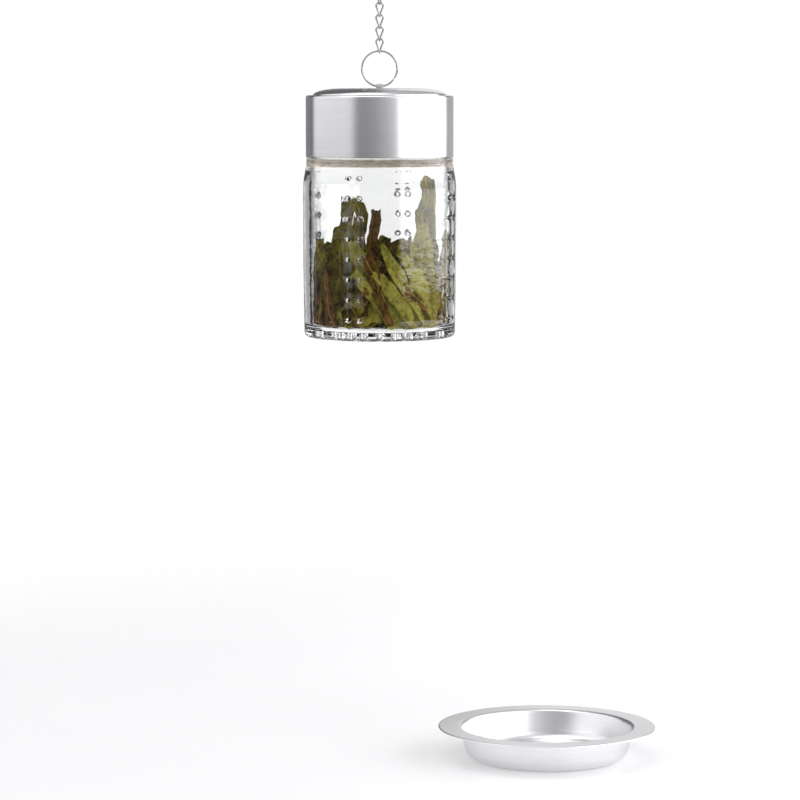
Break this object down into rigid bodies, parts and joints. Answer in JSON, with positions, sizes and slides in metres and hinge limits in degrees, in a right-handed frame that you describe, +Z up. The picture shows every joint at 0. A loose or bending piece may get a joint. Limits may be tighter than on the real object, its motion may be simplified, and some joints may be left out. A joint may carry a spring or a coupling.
{
  "type": "tea infuser",
  "caption": "Perforated glass cup with a screwed-on steel lid, hanging from a ring, a chain of twisted links and a rim hook, beside its steel drip tray.",
  "frame": {"origin": "the point at the top inside the rim hook's crook, which bears on a rim and carries the infuser", "axes": "+Z up, the chain and cup hang straight down -Z; the front faces -Y and +X is to the viewer's right"},
  "size_m": [0.0982, 0.0928, 0.2515],
  "materials": {
    "brushed_steel": "satin, brushed round the axis",
    "steel_wire": "bright drawn wire",
    "glass": "clear, polished",
    "collar_plastic": "matt",
    "silicone": "soft matt silicone"
  },
  "bodies": {
    "rim_hook": {"rim_hook": "steel_wire"},
    "chain_link_12": {"chain_link_12": "steel_wire"},
    "chain_link_11": {"chain_link_11": "steel_wire"},
    "chain_link_10": {"chain_link_10": "steel_wire"},
    "chain_link_09": {"chain_link_09": "steel_wire"},
    "chain_link_08": {"chain_link_08": "steel_wire"},
    "chain_link_07": {"chain_link_07": "steel_wire"},
    "chain_link_06": {"chain_link_06": "steel_wire"},
    "chain_link_05": {"chain_link_05": "steel_wire"},
    "chain_link_04": {"chain_link_04": "steel_wire"},
    "chain_link_03": {"chain_link_03": "steel_wire"},
    "chain_link_02": {"chain_link_02": "steel_wire"},
    "chain_link_01": {"chain_link_01": "steel_wire"},
    "lid_ring": {"lid_ring": "steel_wire"},
    "lid": {"lid_shell": "brushed_steel", "threaded_collar": "collar_plastic", "ring_strap": "brushed_steel"},
    "lid_seal": {"lid_seal": "silicone"},
    "glass_cup": {"glass_cup": "glass"},
    "drip_tray": {"drip_tray": "brushed_steel"}
  },
  "joints": [
    {"name": "chain_swing_12", "type": "hinge", "parent": "rim_hook", "child": "chain_link_12", "pos_m": [0, 0, -0.01512], "axis": [0, 1, 0], "range_deg": [-20, 20]},
    {"name": "chain_swing_11", "type": "hinge", "parent": "chain_link_12", "child": "chain_link_11", "pos_m": [0, 0, -0.01802], "axis": [1, 0, 0], "range_deg": [-20, 20]},
    {"name": "chain_swing_10", "type": "hinge", "parent": "chain_link_11", "child": "chain_link_10", "pos_m": [0, 0, -0.02192], "axis": [0, 1, 0], "range_deg": [-20, 20]},
    {"name": "chain_swing_09", "type": "hinge", "parent": "chain_link_10", "child": "chain_link_09", "pos_m": [0, 0, -0.02482], "axis": [1, 0, 0], "range_deg": [-20, 20]},
    {"name": "chain_swing_08", "type": "hinge", "parent": "chain_link_09", "child": "chain_link_08", "pos_m": [0, 0, -0.02872], "axis": [0, 1, 0], "range_deg": [-20, 20]},
    {"name": "chain_swing_07", "type": "hinge", "parent": "chain_link_08", "child": "chain_link_07", "pos_m": [0, 0, -0.03162], "axis": [1, 0, 0], "range_deg": [-20, 20]},
    {"name": "chain_swing_06", "type": "hinge", "parent": "chain_link_07", "child": "chain_link_06", "pos_m": [0, 0, -0.03552], "axis": [0, 1, 0], "range_deg": [-20, 20]},
    {"name": "chain_swing_05", "type": "hinge", "parent": "chain_link_06", "child": "chain_link_05", "pos_m": [0, 0, -0.03842], "axis": [1, 0, 0], "range_deg": [-20, 20]},
    {"name": "chain_swing_04", "type": "hinge", "parent": "chain_link_05", "child": "chain_link_04", "pos_m": [0, 0, -0.04232], "axis": [0, 1, 0], "range_deg": [-20, 20]},
    {"name": "chain_swing_03", "type": "hinge", "parent": "chain_link_04", "child": "chain_link_03", "pos_m": [0, 0, -0.04522], "axis": [1, 0, 0], "range_deg": [-20, 20]},
    {"name": "chain_swing_02", "type": "hinge", "parent": "chain_link_03", "child": "chain_link_02", "pos_m": [0, 0, -0.04912], "axis": [0, 1, 0], "range_deg": [-20, 20]},
    {"name": "chain_swing_01", "type": "hinge", "parent": "chain_link_02", "child": "chain_link_01", "pos_m": [0, 0, -0.05202], "axis": [1, 0, 0], "range_deg": [-20, 20]},
    {"name": "ring_swing", "type": "hinge", "parent": "chain_link_01", "child": "lid_ring", "pos_m": [0, 0, -0.05592], "axis": [0, 1, 0], "range_deg": [-30, 30]},
    {"name": "lid_tilt", "type": "hinge", "parent": "lid_ring", "child": "lid", "pos_m": [0, 0, -0.06549], "axis": [-1, 0, 0], "range_deg": [-80, 80]},
    {"name": "cup_unscrew", "type": "hinge", "parent": "lid", "child": "lid_seal", "pos_m": [0, 0, -0.06799], "axis": [0, 0, -1], "range_deg": [0, 900]},
    {"name": "cup_drop", "type": "slide", "parent": "lid_seal", "child": "glass_cup", "axis": [0, 0, -1], "range_m": [0, 0.01502]},
    {"name": "tray_slide", "type": "slide", "parent": "rim_hook", "child": "drip_tray", "axis": [-0.7494, 0.6622, 0], "range_m": [0, 0.06192]}
  ],
  "couplings": [
    {"joint": "cup_drop", "follows": "cup_unscrew", "m_per_rad": 0.00095493}
  ]
}
